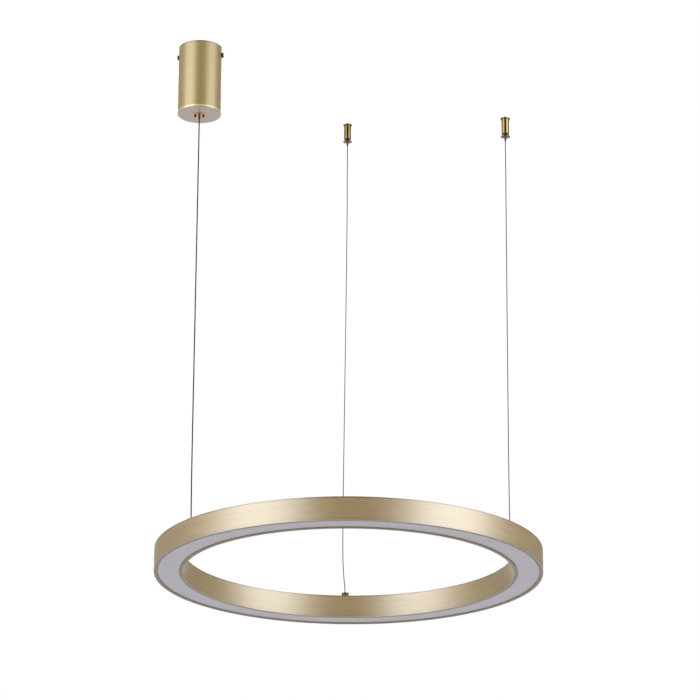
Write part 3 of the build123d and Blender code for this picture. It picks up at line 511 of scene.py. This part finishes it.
finishes = {
    # Ring: a painted dark upper edge, a painted dark line above the foot and painted dark-brown shade on the
    # undersides
    "brushed_gold": brushed_metal(
        "brushed_gold", (0.298, 0.188, 0.051), (0.424, 0.280, 0.086),
        node="ring_channel", lines=1100.0, rough=(0.36, 0.48), metallic=0.2, bump=0.35,
        painted_light_tints=((0.30, 0.25, 0.19), (0.30, 0.21, 0.08), (0.16, 0.115, 0.060)), coat_ior=2.45, end_coat=0.25,
    ),
    # Canopy: a painted dark upper edge, a painted highlight line above the foot and a painted greyer
    # reflection on the underside
    "satin_gold": brushed_metal(
        "satin_gold", (0.333, 0.229, 0.064), (0.394, 0.279, 0.086),
        node="canopy_cover", lines=2200.0, rough=(0.34, 0.44), metallic=0.3, bump=0.2,
        painted_light_tints=((0.30, 0.26, 0.18), (0.70, 0.59, 0.36), (0.37, 0.290, 0.225)), coat_ior=1.75,
    ),
    "polished_gold": plain_metal("polished_gold", *POLISHED_SHADES, POLISHED_ROUGHNESS),
    "copper_gold": plain_metal(
        "copper_gold", (0.52, 0.285, 0.165), (0.60, 0.345, 0.205), rough=(0.18, 0.30),
    ),
    "dark_bronze": plain_metal(
        "dark_bronze", (0.10, 0.050, 0.026), (0.16, 0.085, 0.045), rough=(0.26, 0.40), metallic=0.9,
    ),
    "black_screw": plain_metal(
        "black_screw", (0.018, 0.015, 0.013), (0.035, 0.030, 0.026), rough=(0.30, 0.45), metallic=0.6,
    ),
    "zinc_steel": plain_metal(
        "zinc_steel", (0.32, 0.32, 0.33), (0.42, 0.41, 0.375), rough=(0.54, 0.68), clouds=260.0,
    ),
    "wire_steel": plain_metal(
        "wire_steel", (0.040, 0.040, 0.041), (0.070, 0.070, 0.071), rough=(0.30, 0.46), metallic=0.8,
    ),
    # Tray: a painted darker upper edge; its foot line and underside take one plain shade
    "bare_aluminium": brushed_metal(
        "bare_aluminium", (0.70, 0.70, 0.71), (0.82, 0.82, 0.83),
        node="led_tray", lines=700.0, rough=(0.32, 0.48), metallic=1.0, bump=0.2,
        painted_light_tints=((0.80, 0.80, 0.80), (0.76, 0.76, 0.77), (0.76, 0.76, 0.77)),
    ),
    "cable_jacket": moulded_plastic(
        "cable_jacket", (0.012, 0.010, 0.009), (0.020, 0.017, 0.015), rough=(0.42, 0.55), gloss=0.12,
    ),
    # Diffuser: grey-lilac, darker than its white acrylic, as a painted shade over its face
    "opal_diffuser": opal_acrylic(
        "opal_diffuser", (0.478, 0.450, 0.494), (0.518, 0.490, 0.534), rough=(0.40, 0.52),
    ),
    "white_plastic": moulded_plastic(
        "white_plastic", (0.58, 0.58, 0.56), (0.66, 0.66, 0.64), rough=(0.36, 0.50),
    ),
    "led_phosphor": moulded_plastic(
        "led_phosphor", (0.80, 0.60, 0.12), (0.88, 0.72, 0.24), rough=(0.18, 0.30), coat=0.4,
    ),
}
for lead, shades in LEAD_SHADES.items():
    finishes[lead] = moulded_plastic(lead, *shades, LEAD_ROUGHNESS)

# Finishes of single pieces: the barrels' dark foot, a painted shade on their downward faces, and the
# darkened fittings in the ring
barrel_gold_painted_underside = plain_metal(
    "barrel_gold_painted_underside", *POLISHED_SHADES, POLISHED_ROUGHNESS, zone="End face", tint_or_painted_light=(0.030, 0.019, 0.009),
)
dark_copper = plain_metal("dark_copper", (0.075, 0.040, 0.020), (0.115, 0.062, 0.032), rough=(0.24, 0.36))


def dress(piece, finish):
    piece.data.materials.clear()
    piece.data.materials.append(finish)


# Studio: white background, three soft lamps, dark flags that only reflections see
FLOOR_LEVEL = -2.6
FLOOR_HALF = 60.0
FLOOR_SHADES = ((0.90, 0.90, 0.90), (0.94, 0.94, 0.94))
FLOOR_CLOUDS = 0.6
FLOOR_GLOW = (0.6, 1.0)  # share of plain white that cameras and reflections see in the floor, near and far
FLOOR_NEAR = 1.5
FLOOR_FAR = 9.0
FLAG_DISTANCE = 4.5
FLAG_HIGH = 6.0
FLAG_STEPS = 24
LAMP_DISTANCE = 2.4
LAMP_SIZE = (2.0, 1.9)
LAMP_COLOUR = (0.91, 0.96, 1.0)
WORLD_LIGHT = 0.55

# Flags: name, bearing and half width in degrees, height of the foot, shade
FLAGS = [
    ("front_flag", 0.0, 28.0, -3.0, 0.02),
    ("right_flag", 128.0, 33.0, -0.85, 0.25),
    ("left_flag", -128.0, 33.0, -0.85, 0.34),
]

# Lamps: name, bearing in degrees, rise above the ring, power in watts
LAMPS = [
    ("left_lamp", -52.0, 0.85, 33.0),
    ("right_lamp", 58.0, 0.85, 34.5),
    ("back_lamp", 180.0, 2.2, 34.0),
]


def seen_rays(tree):
    """1 for rays that show the background: straight, mirrored or passed through."""
    rays = tree.nodes.new("ShaderNodeLightPath")
    seen = add_math(tree, "MAXIMUM", rays.outputs["Is Camera Ray"], rays.outputs["Is Glossy Ray"])
    return add_math(tree, "MAXIMUM", seen, rays.outputs["Is Transmission Ray"])


def light_world():
    world = bpy.data.worlds.new("studio")
    scene.world = world
    world.use_nodes = True
    tree = world.node_tree
    tree.nodes.clear()
    end = tree.nodes.new("ShaderNodeOutputWorld")
    mix = tree.nodes.new("ShaderNodeMixShader")
    tree.links.new(seen_rays(tree), mix.inputs[0])
    for socket, strength in ((1, WORLD_LIGHT), (2, 1.0)):
        light = tree.nodes.new("ShaderNodeBackground")
        light.inputs["Color"].default_value = (1.0, 1.0, 1.0, 1.0)
        light.inputs["Strength"].default_value = strength
        tree.links.new(light.outputs[0], mix.inputs[socket])
    tree.links.new(mix.outputs[0], end.inputs["Surface"])


def lay_floor():
    """Pale floor that is clear from below, so that a low camera sees past it."""
    half = FLOOR_HALF
    corners = [(-half, -half, 0), (half, -half, 0), (half, half, 0), (-half, half, 0)]
    mesh = bpy.data.meshes.new("floor")
    mesh.from_pydata(corners, [], [(0, 1, 2, 3)])
    floor = bpy.data.objects.new("floor", mesh)
    floor.location = (ring_middle.x, ring_middle.y, FLOOR_LEVEL)
    scene.collection.objects.link(floor)
    material, tree, shader = start_material("pale_floor")
    haze = place_group(tree, handling_haze, Clouds_per_metre=FLOOR_CLOUDS)
    shade = shade_between(tree, haze.outputs["Haze"], *FLOOR_SHADES)
    tree.links.new(shade, shader.inputs["Base Color"])
    set_sockets(shader, Roughness=0.8)
    glow = tree.nodes.new("ShaderNodeEmission")
    pale = tree.nodes.new("ShaderNodeMixShader")
    place = tree.nodes.new("ShaderNodeTexCoord")
    reach = tree.nodes.new("ShaderNodeVectorMath")
    reach.operation = "LENGTH"
    tree.links.new(place.outputs["Object"], reach.inputs[0])
    share = add_range(tree, reach.outputs["Value"], *FLOOR_GLOW, FLOOR_NEAR, FLOOR_FAR)
    tree.links.new(add_math(tree, "MULTIPLY", seen_rays(tree), share), pale.inputs[0])
    tree.links.new(shader.outputs[0], pale.inputs[1])
    tree.links.new(glow.outputs[0], pale.inputs[2])
    side = tree.nodes.new("ShaderNodeNewGeometry")
    clear = tree.nodes.new("ShaderNodeBsdfTransparent")
    mix = tree.nodes.new("ShaderNodeMixShader")
    tree.links.new(side.outputs["Backfacing"], mix.inputs[0])
    tree.links.new(pale.outputs[0], mix.inputs[1])
    tree.links.new(clear.outputs[0], mix.inputs[2])
    tree.links.new(mix.outputs[0], tree.nodes["Material Output"].inputs["Surface"])
    mesh.materials.append(material)


def round_place(bearing, distance, height):
    """A place round the ring; bearing 0 is towards the camera, growing to the right."""
    angle = math.radians(bearing - 90.0)
    across = distance * math.cos(angle)
    deep = distance * math.sin(angle)
    return Vector((ring_middle.x + across, ring_middle.y + deep, height))


def hang_flag(name, bearing, half_width, foot, shade):
    points = []
    for step in range(FLAG_STEPS + 1):
        at = bearing + half_width * (2 * step / FLAG_STEPS - 1)
        points += [round_place(at, FLAG_DISTANCE, foot), round_place(at, FLAG_DISTANCE, FLAG_HIGH)]
    faces = [(2 * i, 2 * i + 2, 2 * i + 3, 2 * i + 1) for i in range(FLAG_STEPS)]
    mesh = bpy.data.meshes.new(name)
    mesh.from_pydata(points, [], faces)
    flag = bpy.data.objects.new(name, mesh)
    scene.collection.objects.link(flag)
    material, tree, shader = start_material(name)
    tree.nodes.remove(shader)
    cloth = tree.nodes.new("ShaderNodeEmission")
    cloth.inputs["Color"].default_value = (shade, shade, shade, 1.0)
    tree.links.new(cloth.outputs[0], tree.nodes["Material Output"].inputs["Surface"])
    mesh.materials.append(material)
    flag.visible_camera = False
    flag.visible_diffuse = False
    flag.visible_transmission = False
    flag.visible_shadow = False


def hang_lamp(name, bearing, rise, power):
    light = bpy.data.lights.new(name, "AREA")
    light.shape = "RECTANGLE"
    light.size, light.size_y = LAMP_SIZE
    light.energy = power
    light.color = LAMP_COLOUR
    lamp = bpy.data.objects.new(name, light)
    lamp.visible_camera = False
    lamp.location = round_place(bearing, LAMP_DISTANCE, ring_middle.z + rise)
    lamp.rotation_mode = "QUATERNION"
    aim = ring_middle - lamp.location
    lamp.rotation_quaternion = aim.to_track_quat("-Z", "Y")
    scene.collection.objects.link(lamp)


place_camera()
power_cable = hang_line(
    "power_cable", CABLE_BENDS, round_section, CABLE_STEPS,
)
far_wire = hang_line(
    "far_wire", FAR_WIRE_BENDS, stranded_section, WIRE_STEPS,
)
right_wire = hang_line(
    "right_wire", RIGHT_WIRE_BENDS, stranded_section, WIRE_STEPS,
)
press_spring("far_spring")
press_spring("right_spring")
press_spring("cable_grip_spring")

for subpart in frame["record"]["subparts"]:
    dress(nodes[subpart["node"]], finishes[subpart["material_slot"]])
for fitting in ("cable_gland", "far_socket", "right_socket"):
    dress(nodes[fitting], dark_copper)
for side in ("far", "right"):
    dress(nodes[side + "_barrel"], barrel_gold_painted_underside)
    dress(nodes[side + "_collar"], collar_gold(side + "_collar"))
for piece, finish in ((power_cable, "cable_jacket"), (far_wire, "wire_steel"), (right_wire, "wire_steel")):
    dress(piece, finishes[finish])

light_world()
lay_floor()
for flag in FLAGS:
    hang_flag(*flag)
for lamp in LAMPS:
    hang_lamp(*lamp)
